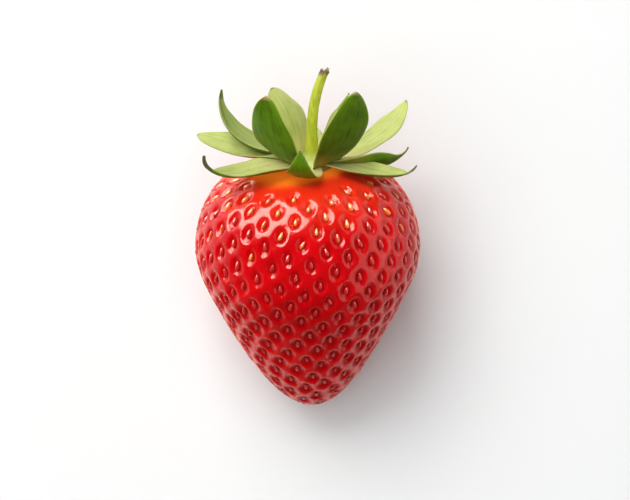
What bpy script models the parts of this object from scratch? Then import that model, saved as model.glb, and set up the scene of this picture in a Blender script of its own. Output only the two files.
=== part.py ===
"""A ripe strawberry with its green calyx and stem, lying on its side on a level surface.

Metres, +Z up. The origin is the middle of the small flat spot that the fruit rests on.
The axis from the fruit's tip to its stem points along +Y and climbs by AXIS_TILT.
Three pieces: the fruit, the rosette of sepals on their disc, and the stem.
"""
import math

import bmesh
import bpy
import numpy as np
from mathutils import Vector
from mathutils.geometry import delaunay_2d_cdt

MM = 0.001
GAP = 0.3                      # clear space between neighbouring pieces, mm

# fruit, in mm: (distance from the tip along the axis, radius) of the outline's control points
OUTLINE = ((0.0, 0.0), (0.0, 2.7), (5.5, 8.4), (23.6, 17.4), (29.7, 18.8), (41.2, 15.2), (43.2, 0.0))
OUTLINE_STEPS = 40             # points in each of the outline's spans
AXIS_TILT = math.radians(25.0)
TIP_LEAN = 0.7                 # the tip bends this far to the right
LEAN_END = 24.0                # the bend starts this far from the tip
FLAT_DEPTH = 0.42              # the weight flattens the fruit's underside by this much
SNAP = 0.02                    # skin points this close to the flat spot's plane join its edge
SMOOTH_NEAR = 9.5              # no relief this close to the flat spot's middle, along the fruit
SMOOTH_FAR = 12.0              # full relief from here
SMOOTH_SQUEEZE = 2.0           # both are this many times less across the fruit

# achenes (the seeds) in their pits, in mm
GOLDEN_TURN = math.pi * (3.0 - math.sqrt(5.0))
SEED_AREA = 10.2               # surface that one achene has to itself
FIRST_SEED = 1.2               # where along the outline the seeds start
LAST_SEED_RADIUS = 9.6         # the pale ring inside this radius, under the calyx, has none
SEED_SCATTER = 0.16
SEED_SEED = 7
PIT_RIM = (1.02, 1.26)         # half width round the fruit, half length along it
SEED_FOOT = (0.42, 0.66)
PIT_DEPTH = 0.42
SEED_TOP = 0.02                # the achene's top stands this far above the fruit's skin
RIM_POINTS = 6
FOOT_POINTS = 4
CROWN_RINGS = ((8.3, 20), (6.2, 14), (3.6, 9))   # (radius, points) of the plain crown

# calyx, in mm
CALYX_SHIFT = 0.7              # disc and stem sit this far to the right of the axis
DISC_RADIUS = 3.9
DISC_HEIGHT = 1.1
DISC_SIDES = 24
SEPAL_ROOT = 2.9               # the sepals start this far from the disc's middle
SEPAL_THICKNESS = 0.7
SEPAL_ROWS = 12
SEPAL_COLUMNS = 4
SEPAL_BLUNT = 0.25             # half width of a sepal's very tip
SEPAL_LANCE = (0.15, 0.6)      # breadth of a sepal at its root, and how fast it widens from there
# turn: direction round the axis from straight up, degrees, clockwise seen from the stem's end
# rise: angle of the midrib above the disc's plane, at the root and at the tip
# swing, roll: how far the midrib turns sideways and the blade turns about it, at the tip
# cup: depth of the blade's trough over its half width; bend: where along it the rise changes
# point: how sharply the blade narrows to its tip
SEPALS = (
    # turn, length, width, rise, rise, swing, roll, cup, bend, point
    (-60.0, 18.3, 7.1, 0.0, 106.0, -3.0, 8.0, 0.32, 5.0, 1.1),
    (-104.0, 16.6, 6.5, 1.0, 19.0, -11.0, -28.0, 0.45, 1.7, 0.7),
    (-106.0, 18.9, 4.0, 2.0, 114.0, -18.0, -13.0, 0.20, 1.85, 0.8),
    (-50.0, 15.2, 8.0, 23.0, 90.0, 9.0, 22.0, 0.05, 0.65, 0.7),
    (-136.0, 12.0, 7.3, 84.0, 28.0, 20.0, -8.0, -0.25, 1.4, 0.5),
    (-12.0, 10.6, 5.6, -13.0, 116.0, 8.0, -8.0, 0.15, 1.4, 1.0),
    (44.0, 15.6, 7.8, 48.0, 81.0, 5.0, -34.0, 0.05, 1.0, 0.7),
    (124.0, 10.8, 4.6, 68.0, 72.0, -28.0, -32.0, 0.45, 1.3, 0.7),
    (106.0, 16.2, 6.0, 13.0, 50.0, 36.0, 4.0, 0.05, 1.4, 0.7),
    (88.0, 13.3, 4.6, -3.0, 58.0, 34.0, -90.0, 0.30, 4.8, 0.9),
    (70.0, 16.1, 6.4, -7.0, 60.0, -23.0, -10.0, 0.28, 3.1, 0.9),
    (188.0, 13.0, 6.2, 0.0, 20.0, 6.0, 5.0, 0.25, 1.4, 0.7),
)
HOOKS = {1: 0.75, 3: 0.35, 10: 0.65, 11: 0.6}    # how much the curled end of a sepal narrows
HOOK_FROM = (0.70, 0.92)       # and between which shares of its length
FOLD = {3: 0.6}                # how sharply a blade folds along its midrib

# stem, in mm
STEM_LENGTH = 14.0
STEM_SIDES = 14
STEM_RINGS = 15
STEM_FOOT = 1.45               # radius of the flare where it leaves the disc
STEM_RADIUS = 0.92
STEM_TOP = 0.72
FLARE_LENGTH = 1.3
STEM_LEAN = (-0.3, 2.4)        # to the left low down, and further to the right at the cut end
STEM_BACK = 0.8                # the upper part nods back this far

SIDE = np.array((1.0, 0.0, 0.0))
AXIS = np.array((0.0, math.cos(AXIS_TILT), math.sin(AXIS_TILT)))
UP = np.array((0.0, -math.sin(AXIS_TILT), math.cos(AXIS_TILT)))


# ---------------------------------------------------------------- helpers

def material(name, colour, roughness):
    """A plain Principled material."""
    made = bpy.data.materials.new(name)
    made.use_nodes = True
    shader = made.node_tree.nodes["Principled BSDF"]
    shader.inputs["Base Color"].default_value = (*colour, 1.0)
    shader.inputs["Roughness"].default_value = roughness
    made.diffuse_color = (*colour, 1.0)
    return made


def mesh_object(name, verts, faces, finish):
    """One object from points in millimetres."""
    mesh = bpy.data.meshes.new(name)
    mesh.from_pydata([tuple(p) for p in np.asarray(verts) * MM], [], faces)
    mesh.materials.append(finish)
    made = bpy.data.objects.new(name, mesh)
    bpy.context.scene.collection.objects.link(made)
    return made


def face_outwards(mesh):
    """Turn every face of a closed mesh to look outwards."""
    bm = bmesh.new()
    bm.from_mesh(mesh)
    bmesh.ops.recalc_face_normals(bm, faces=bm.faces)
    bm.to_mesh(mesh)
    bm.free()


# ---------------------------------------------------------------- fruit

def outline():
    """The half outline as a uniform cubic B-spline, mirrored at both ends so that it meets the
    axis square on. Returns the arc length, the distance along the axis and the radius."""
    points = np.array(OUTLINE)
    flip = np.array((1.0, -1.0))
    points = np.vstack([points[1] * flip, points, points[-2] * flip])
    u = np.linspace(0.0, 1.0, OUTLINE_STEPS, endpoint=False)[:, None]
    weights = (
        (1 - u) ** 3 / 6,
        (3 * u ** 3 - 6 * u ** 2 + 4) / 6,
        (-3 * u ** 3 + 3 * u ** 2 + 3 * u + 1) / 6,
        u ** 3 / 6,
    )
    spans = [sum(w * points[i + j] for j, w in enumerate(weights)) for i in range(len(points) - 3)]
    end = (points[-3] + 4 * points[-2] + points[-1]) / 6
    curve = np.vstack(spans + [end])
    curve[0, 1] = 0.0
    curve[-1, 1] = 0.0
    steps = np.hypot(*np.diff(curve, axis=0).T)
    arc = np.concatenate([[0.0], np.cumsum(steps)])
    return arc, curve[:, 0], curve[:, 1]


ARC, ALONG, RADIUS = outline()
LENGTH = ALONG[-1]


def rest_height():
    """Height of the tip above the surface, and distance of the lowest point behind the tip."""
    drop = RADIUS * math.cos(AXIS_TILT) - ALONG * math.sin(AXIS_TILT)
    low = int(np.argmax(drop))
    behind = ALONG[low] * math.cos(AXIS_TILT) + RADIUS[low] * math.sin(AXIS_TILT)
    return drop[low], behind, ARC[low]


TIP_HEIGHT, TIP_BEHIND, REST_ARC = rest_height()
TIP = np.array((0.0, -TIP_BEHIND, TIP_HEIGHT - FLAT_DEPTH))


def place(along, side, up):
    """World position, in mm, of a point given along the axis, to its right and upwards."""
    return (TIP + np.multiply.outer(along, AXIS) + np.multiply.outer(side, SIDE)
            + np.multiply.outer(up, UP))


def skin(arc, turn, height):
    """Points of the fruit's surface: arc length from the tip, turn round the axis, and height
    above the smooth skin along its normal."""
    along_slope = np.interp(arc, ARC, np.gradient(ALONG, ARC))
    radius_slope = np.interp(arc, ARC, np.gradient(RADIUS, ARC))
    along = np.interp(arc, ARC, ALONG) - height * radius_slope
    radius = np.interp(arc, ARC, RADIUS) + height * along_slope
    lean = TIP_LEAN * np.clip(1.0 - along / LEAN_END, 0.0, 1.0) ** 2
    return place(along, radius * np.sin(turn) + lean, radius * np.cos(turn))


def seed_sites():
    """Arc length and turn of every achene. Each next one is a golden angle further round and
    takes the same area of skin, with a little scatter."""
    ring = 2 * math.pi * (RADIUS[1:] + RADIUS[:-1]) / 2 * np.diff(ARC)
    area = np.concatenate([[0.0], np.cumsum(ring)])
    widest = int(np.argmax(RADIUS))
    last = np.interp(-LAST_SEED_RADIUS, -RADIUS[widest:], ARC[widest:])
    first_area = np.interp(FIRST_SEED, ARC, area)
    count = int((np.interp(last, ARC, area) - first_area) / SEED_AREA)
    order = np.arange(count)
    arc = np.interp(first_area + (order + 0.5) * SEED_AREA, area, ARC)
    draw = np.random.default_rng(SEED_SEED)
    arc = arc + draw.uniform(-SEED_SCATTER, SEED_SCATTER, count)
    radius = np.interp(arc, ARC, RADIUS)
    turn = order * GOLDEN_TURN + draw.uniform(-SEED_SCATTER, SEED_SCATTER, count) / radius
    return arc, turn


def seed_ring(arc, turn, half_sizes, points, height, phase):
    """The points of an ellipse round one seed site, as (arc, turn, height) rows."""
    radius = np.interp(arc, ARC, RADIUS)
    angle = 2 * math.pi * (np.arange(points) + phase) / points
    ring_arc = arc + half_sizes[1] * np.cos(angle)
    ring_radius = np.interp(ring_arc, ARC, RADIUS)
    ring_turn = turn + half_sizes[0] * np.sin(angle) / np.maximum(ring_radius, 0.6 * radius)
    return np.stack([ring_arc, ring_turn, np.full(points, height)], axis=-1)


def skin_rows():
    """Every vertex of the fruit as (arc, turn, height): seeds in their pits, the plain crown
    round the stem's end and the pole there, which comes last."""
    rows = []
    for arc, turn in zip(*seed_sites()):
        rows.append(np.array([[arc, turn, SEED_TOP]]))
        rows.append(seed_ring(arc, turn, SEED_FOOT, FOOT_POINTS, -PIT_DEPTH, 0.0))
        rows.append(seed_ring(arc, turn, PIT_RIM, RIM_POINTS, 0.0, 0.0))
    widest = int(np.argmax(RADIUS))
    for radius, points in CROWN_RINGS:
        arc = np.interp(-radius, -RADIUS[widest:], ARC[widest:])
        turn = 2 * math.pi * np.arange(points) / points
        rows.append(np.stack([np.full(points, arc), turn, np.zeros(points)], axis=-1))
    rows.append(np.array([[ARC[-1], 0.0, 0.0]]))
    return np.vstack(rows)


def skin_triangles(rows):
    """Triangles over the rows. The skin is first laid out flat by the map that keeps angles,
    with the tip in the middle, then triangulated there; the last row is the pole that closes
    the outermost ring."""
    inner = slice(1, -1)
    stretch = np.concatenate([[0.0], np.cumsum(np.diff(ARC[inner])
                                               / ((RADIUS[inner][1:] + RADIUS[inner][:-1]) / 2))])
    depth = np.interp(rows[:-1, 0], ARC[inner], stretch)
    spread = np.exp(depth - depth.max())
    flat = np.stack([spread * np.cos(rows[:-1, 1]), spread * np.sin(rows[:-1, 1])], axis=-1)
    result = delaunay_2d_cdt([Vector(p) for p in flat], [], [], 0, 1e-9, True)
    source = [ids[0] for ids in result[3]]
    triangles = [tuple(source[i] for i in face) for face in result[2]]
    ring = CROWN_RINGS[-1][1]
    pole = len(rows) - 1
    first = pole - ring
    for i in range(ring):
        triangles.append((first + i, first + (i + 1) % ring, pole))
    return triangles


def fruit():
    """The fruit: pitted skin with an achene standing in each pit, cut flat where it rests."""
    rows = skin_rows()
    triangles = skin_triangles(rows)
    smooth = skin(rows[:, 0], rows[:, 1], np.zeros(len(rows)))
    away = np.linalg.norm(smooth * (SMOOTH_SQUEEZE, 1.0, SMOOTH_SQUEEZE), axis=1)
    relief = np.clip((away - SMOOTH_NEAR) / (SMOOTH_FAR - SMOOTH_NEAR), 0.0, 1.0)
    points = skin(rows[:, 0], rows[:, 1], rows[:, 2] * relief)
    made = mesh_object("fruit", points, triangles, material("fruit_red", (0.55, 0.02, 0.02), 0.3))
    bm = bmesh.new()
    bm.from_mesh(made.data)
    bmesh.ops.recalc_face_normals(bm, faces=bm.faces)
    everything = bm.verts[:] + bm.edges[:] + bm.faces[:]
    bmesh.ops.bisect_plane(bm, geom=everything, dist=SNAP * MM, plane_co=(0, 0, 0),
                           plane_no=(0, 0, -1), clear_outer=True)
    rim = [edge for edge in bm.edges if edge.is_boundary]
    for edge in rim:
        for vert in edge.verts:
            vert.co.z = 0.0
    bmesh.ops.holes_fill(bm, edges=rim, sides=0)
    bmesh.ops.recalc_face_normals(bm, faces=bm.faces)
    bm.to_mesh(made.data)
    bm.free()
    return made


# ---------------------------------------------------------------- calyx

def sepal_width(t, point):
    """Half width along a sepal, as a share of its widest: a lance shape, (t + a)^b (1 - t)^point."""
    start, swell = SEPAL_LANCE
    widest = (swell - start * point) / (swell + point)
    peak = (widest + start) ** swell * (1.0 - widest) ** point
    return (t + start) ** swell * (1.0 - t) ** point / peak


def sepal_grid(row, base, pinch, fold):
    """Mid surface of one sepal and its normals, each (rows, columns, 3), in mm."""
    turn, length, width, rise_root, rise_tip, swing, roll, cup, bend, point = row
    turn, rise_root, rise_tip, swing, roll = np.radians((turn, rise_root, rise_tip, swing, roll))
    t = np.linspace(0.0, 1.0, SEPAL_ROWS + 1)
    across = np.linspace(-1.0, 1.0, SEPAL_COLUMNS + 1)
    rise = rise_root + (rise_tip - rise_root) * t ** bend
    heading = turn + swing * t ** 2
    outwards = np.outer(np.cos(heading), UP) + np.outer(np.sin(heading), SIDE)
    along = np.cos(rise)[:, None] * outwards + np.outer(np.sin(rise), AXIS)
    sideways = np.outer(-np.sin(heading), UP) + np.outer(np.cos(heading), SIDE)
    face = np.cross(along, sideways)
    turned = np.cos(roll * t)[:, None] * sideways + np.sin(roll * t)[:, None] * face
    face = np.cos(roll * t)[:, None] * face - np.sin(roll * t)[:, None] * sideways
    start = base + SEPAL_ROOT * outwards[0]
    steps = (along[1:] + along[:-1]) / 2 * length / SEPAL_ROWS
    midrib = start + np.vstack([np.zeros(3), np.cumsum(steps, axis=0)])
    curled = np.clip((t - HOOK_FROM[0]) / (HOOK_FROM[1] - HOOK_FROM[0]), 0.0, 1.0)
    narrowing = 1.0 - pinch * curled * curled * (3.0 - 2.0 * curled)
    half = np.maximum(width / 2 * sepal_width(t, point) * narrowing, SEPAL_BLUNT)
    spread = half[:, None] * across * math.cos(math.atan(abs(cup)))
    trough = half[:, None] * (cup * across ** 2 + fold * np.abs(across))
    grid = midrib[:, None] + spread[..., None] * turned[:, None] + trough[..., None] * face[:, None]
    normal = np.cross(np.gradient(grid, axis=0), np.gradient(grid, axis=1))
    normal /= np.linalg.norm(normal, axis=-1, keepdims=True)
    return grid, normal


def sepal(index, row, base, finish):
    """One sepal: two faces with the same triangles, joined round the edge."""
    grid, normal = sepal_grid(row, base, HOOKS.get(index, 0.0), FOLD.get(index, 0.0))
    rows, columns = grid.shape[:2]
    offset = normal * SEPAL_THICKNESS / 2
    points = np.concatenate([(grid + offset).reshape(-1, 3), (grid - offset).reshape(-1, 3)])
    count = rows * columns
    triangles = []
    for i in range(rows - 1):
        for j in range(columns - 1):
            a = i * columns + j
            b = a + columns
            triangles += [(a, b, b + 1), (a, b + 1, a + 1)]
    triangles += [(c + count, b + count, a + count) for a, b, c in triangles]
    rim = [i * columns for i in range(rows)]
    rim += [(rows - 1) * columns + j for j in range(1, columns)]
    rim += [i * columns + columns - 1 for i in range(rows - 2, -1, -1)]
    rim += list(range(columns - 2, 0, -1))
    for a, b in zip(rim, rim[1:] + rim[:1]):
        triangles += [(b, a, a + count), (b, a + count, b + count)]
    made = mesh_object(f"sepal_{index}", points, triangles, finish)
    face_outwards(made.data)
    return made


def disc(finish):
    """The low round disc that carries the sepals, a gap above the fruit's crown."""
    angle = 2 * math.pi * np.arange(DISC_SIDES) / DISC_SIDES
    side = CALYX_SHIFT + DISC_RADIUS * np.sin(angle)
    up = DISC_RADIUS * np.cos(angle)
    low = place(np.full(DISC_SIDES, LENGTH + GAP), side, up)
    high = place(np.full(DISC_SIDES, LENGTH + GAP + DISC_HEIGHT), side, up)
    ends = place(np.array((LENGTH + GAP, LENGTH + GAP + DISC_HEIGHT)),
                 np.full(2, CALYX_SHIFT), np.zeros(2))
    faces = []
    for i in range(DISC_SIDES):
        j = (i + 1) % DISC_SIDES
        faces.append((i, j, j + DISC_SIDES, i + DISC_SIDES))
        faces.append((j, i, 2 * DISC_SIDES))
        faces.append((i + DISC_SIDES, j + DISC_SIDES, 2 * DISC_SIDES + 1))
    made = mesh_object("calyx", np.vstack([low, high, ends]), faces, finish)
    face_outwards(made.data)
    return made


def calyx():
    """The disc with its twelve sepals, joined in one solid."""
    finish = material("leaf_green", (0.18, 0.30, 0.04), 0.6)
    base = place(LENGTH + GAP + DISC_HEIGHT / 2, CALYX_SHIFT, 0.0)
    blades = bpy.data.collections.new("blades")
    bpy.context.scene.collection.children.link(blades)
    for index, row in enumerate(SEPALS, start=1):
        blade = sepal(index, row, base, finish)
        bpy.context.scene.collection.objects.unlink(blade)
        blades.objects.link(blade)
    made = disc(finish)
    union = made.modifiers.new("sepals", "BOOLEAN")
    union.operation = "UNION"
    union.operand_type = "COLLECTION"
    union.collection = blades
    union.solver = "MANIFOLD"
    evaluated = made.evaluated_get(bpy.context.evaluated_depsgraph_get())
    joined = bpy.data.meshes.new_from_object(evaluated)
    made.modifiers.clear()
    made.data = joined
    for blade in list(blades.objects):
        bpy.data.objects.remove(blade)
    bpy.data.collections.remove(blades)
    return made


# ---------------------------------------------------------------- stem

def stem():
    """The stem: a round stalk with a flared foot a gap above the disc and a cut end."""
    t = np.linspace(0.0, 1.0, STEM_RINGS) ** 1.5
    height = LENGTH + 2 * GAP + DISC_HEIGHT + STEM_LENGTH * t
    side = CALYX_SHIFT + STEM_LEAN[0] * t + STEM_LEAN[1] * t ** 3
    back = -STEM_BACK * t ** 2
    taper = STEM_RADIUS + (STEM_TOP - STEM_RADIUS) * t
    radius = taper + (STEM_FOOT - STEM_RADIUS) * np.exp(-t * STEM_LENGTH / FLARE_LENGTH)
    angle = 2 * math.pi * np.arange(STEM_SIDES) / STEM_SIDES
    rings = place(np.repeat(height, STEM_SIDES),
                  (side[:, None] + np.outer(radius, np.sin(angle))).ravel(),
                  (back[:, None] + np.outer(radius, np.cos(angle))).ravel())
    faces = [tuple(range(STEM_SIDES)), tuple(range(len(rings) - STEM_SIDES, len(rings)))]
    for k in range(STEM_RINGS - 1):
        for i in range(STEM_SIDES):
            a = k * STEM_SIDES + i
            b = k * STEM_SIDES + (i + 1) % STEM_SIDES
            faces.append((a, b, b + STEM_SIDES, a + STEM_SIDES))
    made = mesh_object("stem", rings, faces, material("stem_green", (0.45, 0.50, 0.05), 0.5))
    face_outwards(made.data)
    made.data.shade_smooth()
    return made


def main():
    for thing in list(bpy.data.objects):
        bpy.data.objects.remove(thing)
    fruit()
    calyx()
    stem()


main()
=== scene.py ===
"""The looks of a ripe strawberry that lies on its side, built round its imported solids.

Lengths are in millimetres until a mesh is made. A place on the fruit is given by its arc length
from the tip along the outline and by its turn round the axis, from straight up.
"""
import math

import bpy
import numpy as np
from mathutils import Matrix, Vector
from mathutils.geometry import delaunay_2d_cdt

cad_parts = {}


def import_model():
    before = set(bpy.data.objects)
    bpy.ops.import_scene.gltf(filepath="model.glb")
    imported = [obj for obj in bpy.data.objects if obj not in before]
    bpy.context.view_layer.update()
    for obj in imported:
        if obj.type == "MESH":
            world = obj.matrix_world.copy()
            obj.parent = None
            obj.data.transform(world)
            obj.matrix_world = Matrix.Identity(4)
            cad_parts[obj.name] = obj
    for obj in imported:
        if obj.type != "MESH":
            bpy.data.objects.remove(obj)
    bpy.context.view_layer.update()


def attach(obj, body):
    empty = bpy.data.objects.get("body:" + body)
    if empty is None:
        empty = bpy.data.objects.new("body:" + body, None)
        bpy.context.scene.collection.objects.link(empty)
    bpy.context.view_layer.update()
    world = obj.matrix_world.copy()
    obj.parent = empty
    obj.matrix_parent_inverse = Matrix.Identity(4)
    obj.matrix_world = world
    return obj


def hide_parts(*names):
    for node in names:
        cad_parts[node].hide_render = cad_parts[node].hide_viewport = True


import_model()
MM = 0.001
BODY = "root"

# the fruit's form, as in its solids
OUTLINE = (                    # (distance from the tip along the axis, radius), control points
    (0.0, 0.0), (0.0, 2.7), (5.5, 8.4), (23.6, 17.4), (29.7, 18.8), (41.2, 15.2), (43.2, 0.0),
)
OUTLINE_STEPS = 40             # points in each of the outline's spans
AXIS_TILT = math.radians(25.0)
TIP_LEAN = 0.7                 # the tip bends this far to the right
LEAN_END = 24.0                # the bend starts this far from the tip
FLAT_DEPTH = 0.42              # the weight flattens the underside by this much
GOLDEN_TURN = math.pi * (3.0 - math.sqrt(5.0))
SEED_AREA = 10.2               # skin that one achene has to itself, in square millimetres
FIRST_SEED = 1.2               # arc length at which the achenes begin
LAST_SEED_RADIUS = 9.6         # the pale ring inside this radius, under the calyx, has none
SEED_SCATTER = 0.16            # how far a seed strays from the rule, each way
PIT_SIZES = (0.90, 1.06)       # smallest and largest pit, as shares of the sizes below
SEED_SEED = 7                  # starts the random draws of the seeds' places

# pits
PIT_ACROSS = 0.98              # half width of a pit, round the fruit
PIT_ALONG = 1.36               # half length, along the outline
PIT_DEPTH = 0.50
PIT_EDGE = 1.07                # the bowl begins here; shares are of the half width or length
PIT_STEEPNESS = (2.0, 2.8)     # near the tip, and from the middle on
TIP_ZONE = (24.0, 38.0)        # arc lengths between which the look of the tip ends
TIP_SPREAD = (0.25, 0.24)      # how much longer and wider the pits are near the tip
CUSHION = 0.13                 # how far the skin swells between the pits
CUSHION_RISE = (0.95, 1.7)     # and between which shares
BROW = 0.12                    # how far it swells just above each pit near the tip
BROW_RISE = (0.84, 0.98)
BROW_FALL = (1.0, 1.18)

# the skin's points: rings round every seed, then plain rings round the tip and the crown
PIT_RINGS = (0.2, 0.4, 0.56, 0.68, 0.78, 0.87, 0.95, 1.03, 1.12, 1.24, 1.4)
PIT_POINTS = 20
SEARCH_BLOCKS = 24             # the nearest seeds are looked up in this many lots
TIP_CLEAR = 0.2                # arc length that the seeds' rings leave free
TIP_RING = 0.12
CROWN_START = 1.9              # the crown's first ring lies this far past the last seed
CROWN_STEP = 0.55
CROWN_END = 2.2                # their number leaves this much of the arc length out
CROWN_SPACING = 0.6            # between a ring's points
CROWN_LEAST = 8                # points in a ring

# achenes
SEED_HALF = (0.36, 0.70, 0.35) # half width, half length and half height
SEED_SUNK = 0.29               # an achene's middle lies this far under the skin
SEED_ROWS = 7
SEED_SIDES = 10
SEED_BLUNTNESS = 0.9
SEED_EGG = 0.28                # how much wider its end towards the tip is
SEED_KEEL = 0.22               # how far the keel stands out
KEEL_SHARPNESS = 8
SEED_BEAK = (1.12, 0.06)       # reach and height of its point towards the stem
SEED_SPIN = 0.16               # how far achenes turn in their pits, radians
SEED_NOD = (0.10, 0.10)        # how steeply they rise towards the stem, and its scatter
SEED_SIZES = (0.92, 1.08)
TIP_SEED = 0.86                # their size near the tip
TONE_SCATTER = 0.07
RED_SIDE = (1.0, 10.0)         # they are redder to the right, between these distances
RED_SHIFT = 0.13

# calyx and stem, as in their solids
GAP = 0.3
CALYX_SHIFT = 0.7              # disc and stem sit this far to the right of the axis
DISC_HEIGHT = 1.1
DISC_RADIUS = 3.9
SEPAL_ROOT = 2.9               # the sepals start this far from the disc's middle
SEPAL_LANCE = (0.15, 0.6)      # breadth at the root, and how fast a sepal widens from there
# turn: direction round the axis from straight up, degrees, clockwise seen from the stem's end
# rise: angle of the midrib above the disc's plane, at the root and at the tip
# swing, roll: how far the midrib turns sideways and the blade turns about it, at the tip
# cup: depth of the blade's trough over its half width; bend: where along it the rise changes
# point: how sharply the blade narrows to its tip
SEPALS = (
    # turn, length, width, rise, rise, swing, roll, cup, bend, point
    (-60.0, 18.3, 7.1, 0.0, 106.0, -3.0, 8.0, 0.32, 5.0, 1.1),
    (-104.0, 16.6, 6.5, 1.0, 19.0, -11.0, -28.0, 0.45, 1.7, 0.7),
    (-106.0, 18.9, 4.0, 2.0, 114.0, -18.0, -13.0, 0.20, 1.85, 0.8),
    (-50.0, 15.2, 8.0, 23.0, 90.0, 9.0, 22.0, 0.05, 0.65, 0.7),
    (-136.0, 12.0, 7.3, 84.0, 28.0, 20.0, -8.0, -0.25, 1.4, 0.5),
    (-12.0, 10.6, 5.6, -13.0, 116.0, 8.0, -8.0, 0.15, 1.4, 1.0),
    (44.0, 15.6, 7.8, 48.0, 81.0, 5.0, -34.0, 0.05, 1.0, 0.7),
    (124.0, 10.8, 4.6, 68.0, 72.0, -28.0, -32.0, 0.45, 1.3, 0.7),
    (106.0, 16.2, 6.0, 13.0, 50.0, 36.0, 4.0, 0.05, 1.4, 0.7),
    (88.0, 13.3, 4.6, -3.0, 58.0, 34.0, -90.0, 0.30, 4.8, 0.9),
    (70.0, 16.1, 6.4, -7.0, 60.0, -23.0, -10.0, 0.28, 3.1, 0.9),
    (188.0, 13.0, 6.2, 0.0, 20.0, 6.0, 5.0, 0.25, 1.4, 0.7),
)
HOOKS = {1: 0.75, 3: 0.35, 10: 0.65, 11: 0.6}    # how much the curled end narrows
HOOK_FROM = (0.70, 0.92)       # and between which shares of the length
FOLD = {3: 0.6}                # how sharply the blade folds along its midrib
SEPAL_LOOK = {
    # pale foot, start of the dry tip, its pinkness, painted shade on one half
    1: (0.16, 0.82, 0.0, 0.0),
    3: (0.20, 0.90, 0.1, 0.45),
    4: (0.16, 0.95, 1.0, 0.0),
    7: (0.20, 0.96, 0.9, 0.0),
    10: (0.45, 0.97, 0.1, 0.0),
    11: (0.30, 0.88, 0.1, 0.3),
}
PLAIN_LOOK = (0.16, 0.965, 0.1, 0.0)
SEPAL_ROWS = 72
SEPAL_COLUMNS = 32
SEPAL_CROWDING = 1.25          # the rows lie closer towards the tip
SEPAL_BLUNT = 0.05             # half width of a sepal's very tip
SEPAL_SEED = 100               # starts the random draws of the margins' waves
WAVE_HEIGHT = (0.15, 0.35)     # how far the margins flutter
WAVE_COUNT = (1.2, 2.4)        # and how often along the sepal
BLADE_THICK = (0.10, 0.14)     # half thickness at the tip, and what the root has more
MARGIN_THICK = 0.03
MIDRIB_HALF = 0.24             # half width of the midrib
MIDRIB_RELIEF = (0.11, 0.12)   # its ridge on the stem's side, its groove on the fruit's side
VEIN_RELIEF = (0.035, 0.045)   # the same for the veins beside it
VEIN_SLANT = 0.62
VEIN_COUNT = 3.1
VEIN_CLEAR = 0.5               # they fade this close to the midrib
VEIN_TONE = 0.55
DISC_SIDES = 72
DISC_ROWS = 20
DISC_INSET = 0.25
DISC_FOOT = 0.32               # the disc's rim lies this far past the fruit's end
DISC_HOLLOW = ((0.2, 0.0), (2.4, 0.05))    # radius and dip of the rings under the disc
DISC_ROUNDING = (0.55, 1.3)    # how fast the dome draws in and how slowly it rises
DISC_LOBES = (6, 0.03)
STEM_LENGTH = 14.0
STEM_FOOT = 1.45
STEM_RADIUS = 0.92
STEM_TOP = 0.72
FLARE_LENGTH = 1.3
STEM_LEAN = (-0.3, 2.4)        # how far it leans to the right, evenly and in its last part
STEM_BACK = 0.8
STEM_SIDES = 48
STEM_ROWS = 110
STEM_CROWDING = 1.25           # the rows lie closer towards the foot
STEM_SWELL = 0.03              # share by which it swells and narrows along its length
STEM_PINCH = (0.95, 0.985)     # shares of its length between which the cut end narrows
PINCH_DEPTH = 0.14
STEM_DRY = (0.93, 1.0)         # and between which it dries
RIB_HEIGHTS = (0.035, 0.012)   # 5 coarse ribs and 13 fine ones
CREASE_DEPTHS = (0.10, 0.05)   # 7 coarse creases and 11 fine ones, in the dry end
RAGGED = (0.22, 0.11)          # heights of its rim's 3 long waves and 8 short ones
CUT_RINGS = ((0.62, 0.35), (0.30, 0.5))    # share of the rim's width, and depth, inside the cut
CUT_DEPTH = 0.55               # depth of the cut's middle

# the setting
ROOM_LIGHT = 1.0
ROOM_DIM = 0.02
LOW_LIGHT = (0.10, 0.35)       # heights of direction over which the light all round ends
FRONT_FADE = (-0.75, -0.15)    # directions ahead over which it begins
FLOOR_HALF = 1500.0
FLOOR_HEIGHT = -0.03
CARD_EDGE = -52.0              # the dark card begins this far ahead of the fruit's middle
CARD_HEIGHT = -0.01
WHITE = (1.0, 1.0, 1.0)
WARM = (1.0, 0.94, 0.81)
LAMPS = (
    # name, place and size in metres, watts, seen in the gloss, lights matt surfaces, colour
    ("window_mirrored", (-0.29, 0.41, 0.27), (0.64, 0.56), 20.0, True, False, WARM),
    ("right_wall_mirrored", (0.62, 0.0, 0.27), (1.4, 0.56), 4.4, True, False, WARM),
    ("window_light", (-0.42, 0.98, 1.20), (1.00, 0.84), 19.0, False, True, WHITE),
    ("overhead", (-0.14, -0.02, 0.60), (0.9, 0.9), 3.9, False, True, WHITE),
)
LAMPS_AIM = (0.0, 0.0, 0.018)
CAMERA_PLACE = (0.00118, 0.0021, 0.300)

SIDE = np.array((1.0, 0.0, 0.0))
AXIS = np.array((0.0, math.cos(AXIS_TILT), math.sin(AXIS_TILT)))
UP = np.array((0.0, -math.sin(AXIS_TILT), math.cos(AXIS_TILT)))


# ---------------------------------------------------------------- shader maths

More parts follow.
